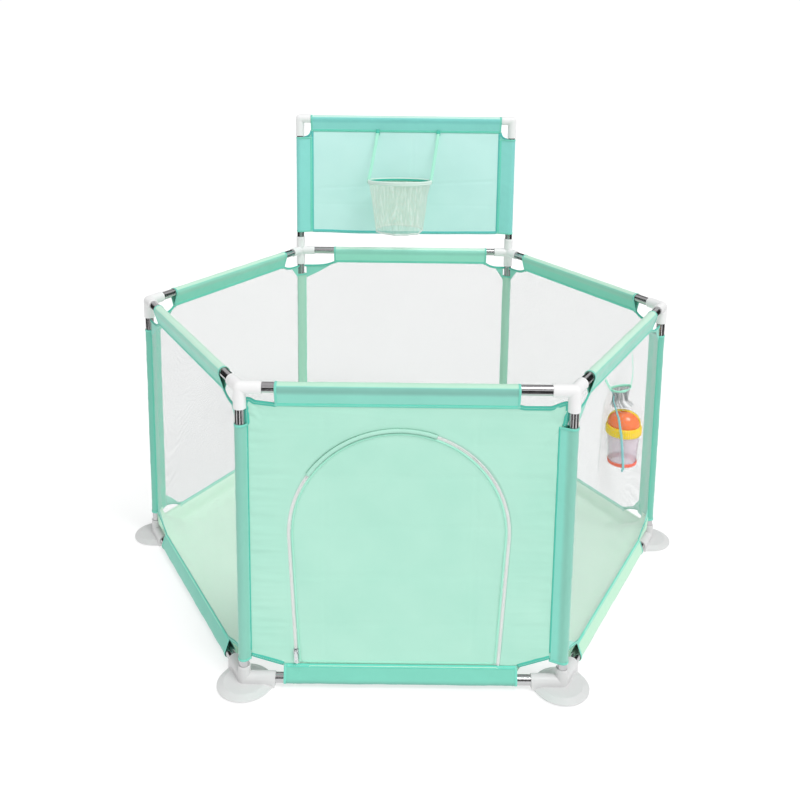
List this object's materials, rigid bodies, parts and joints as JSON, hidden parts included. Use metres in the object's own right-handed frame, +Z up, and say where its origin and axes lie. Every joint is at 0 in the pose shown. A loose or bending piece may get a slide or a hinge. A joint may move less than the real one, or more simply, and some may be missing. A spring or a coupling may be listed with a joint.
{
  "type": "playpen",
  "caption": "Hexagonal fabric playpen on steel tubes and white plastic corners, with a zipped doorway, mesh walls, a backboard with a net hoop and a cup in a hanging pocket.",
  "frame": {"origin": "on the floor under the middle of the pen", "axes": "+Z up, the zipped doorway faces -Y, the backboard stands at +Y, and +X runs from corner to corner"},
  "size_m": [1.37, 1.2012, 1.037],
  "materials": {
    "steel_tube": "bright drawn tube",
    "white_plastic": "satin moulded",
    "clear_pvc": "soft translucent",
    "mint_fabric": "plain woven polyester",
    "sleeve_fabric": "plain woven polyester, doubled",
    "mesh": "fine knitted mesh",
    "floor_fabric": "coated woven polyester",
    "net": "soft open net",
    "ribbon": "folded binding tape",
    "zip_tape": "coil zip on tape",
    "zip_metal": "plated",
    "clear_plastic": "clear moulded",
    "yellow_plastic": "gloss moulded",
    "orange_plastic": "gloss moulded"
  },
  "bodies": {
    "pen": {"top_rail_front": "steel_tube", "top_rail_front_right": "steel_tube", "top_rail_back_right": "steel_tube", "top_rail_back": "steel_tube", "top_rail_back_left": "steel_tube", "top_rail_front_left": "steel_tube", "bottom_rail_front": "steel_tube", "bottom_rail_front_right": "steel_tube", "bottom_rail_back_right": "steel_tube", "bottom_rail_back": "steel_tube", "bottom_rail_back_left": "steel_tube", "bottom_rail_front_left": "steel_tube", "post_front_left": "steel_tube", "post_front_right": "steel_tube", "post_right": "steel_tube", "post_back_right": "steel_tube", "post_back_left": "steel_tube", "post_left": "steel_tube", "top_corner_front_left": "white_plastic", "top_corner_front_right": "white_plastic", "top_corner_right": "white_plastic", "top_corner_back_right": "white_plastic", "top_corner_back_left": "white_plastic", "top_corner_left": "white_plastic", "foot_corner_front_left": "white_plastic", "foot_corner_front_right": "white_plastic", "foot_corner_right": "white_plastic", "foot_corner_back_right": "white_plastic", "foot_corner_back_left": "white_plastic", "foot_corner_left": "white_plastic", "suction_cups": "clear_pvc", "top_sleeves": "sleeve_fabric", "bottom_sleeves": "sleeve_fabric", "post_sleeves": "sleeve_fabric", "wall_front": "mint_fabric", "wall_front_right": "mesh", "wall_back_right": "mesh", "wall_back": "mesh", "wall_back_left": "mesh", "wall_front_left": "mesh", "floor_sheet": "floor_fabric", "door_zip": "zip_tape"},
    "door": {"door_flap": "mint_fabric"},
    "slider": {"zip_slider": "zip_metal"},
    "pull": {"zip_pull": "zip_metal"},
    "backboard": {"backboard_post_left": "steel_tube", "backboard_post_right": "steel_tube", "backboard_rail": "steel_tube", "backboard_elbow_left": "white_plastic", "backboard_elbow_right": "white_plastic", "backboard_sleeves": "sleeve_fabric", "backboard_sheet": "mint_fabric"},
    "hoop": {"hoop_rim": "sleeve_fabric", "hoop_net": "net", "hoop_ribbons": "ribbon"},
    "pocket": {"pocket": "net", "pocket_ribbons": "ribbon"},
    "cup": {"cup_body": "clear_plastic", "cup_collar": "yellow_plastic"},
    "lid": {"cup_lid": "orange_plastic"}
  },
  "joints": [
    {"name": "door_open", "type": "hinge", "parent": "pen", "child": "door", "pos_m": [-0.012, -0.5456, 0.049], "axis": [1, 0, 0], "range_deg": [0, 95]},
    {"name": "zip_run", "type": "slide", "parent": "pen", "child": "slider", "axis": [-0.0506, 0, 0.9987], "range_m": [-0.018, 0.23]},
    {"name": "pull_flip", "type": "hinge", "parent": "slider", "child": "pull", "pos_m": [-0.21271, -0.5507, 0.079], "axis": [-0.9987, 0, -0.0506], "range_deg": [0, 170]},
    {"name": "backboard_lift", "type": "slide", "parent": "pen", "child": "backboard", "axis": [0, 0, 1], "range_m": [0, 0.06]},
    {"name": "hoop_swing", "type": "hinge", "parent": "backboard", "child": "hoop", "pos_m": [-0.017, 0.5411, 0.987], "axis": [-1, 0, 0], "range_deg": [0, 40]},
    {"name": "pocket_swing", "type": "hinge", "parent": "pen", "child": "pocket", "pos_m": [0.45683, -0.30994, 0.585], "axis": [-0.5, -0.866, 0], "range_deg": [0, 45]},
    {"name": "cup_lift", "type": "slide", "parent": "pocket", "child": "cup", "axis": [0, 0, 1], "range_m": [0, 0.03]},
    {"name": "lid_lift", "type": "slide", "parent": "cup", "child": "lid", "axis": [0, 0, 1], "range_m": [0, 0.02]}
  ]
}
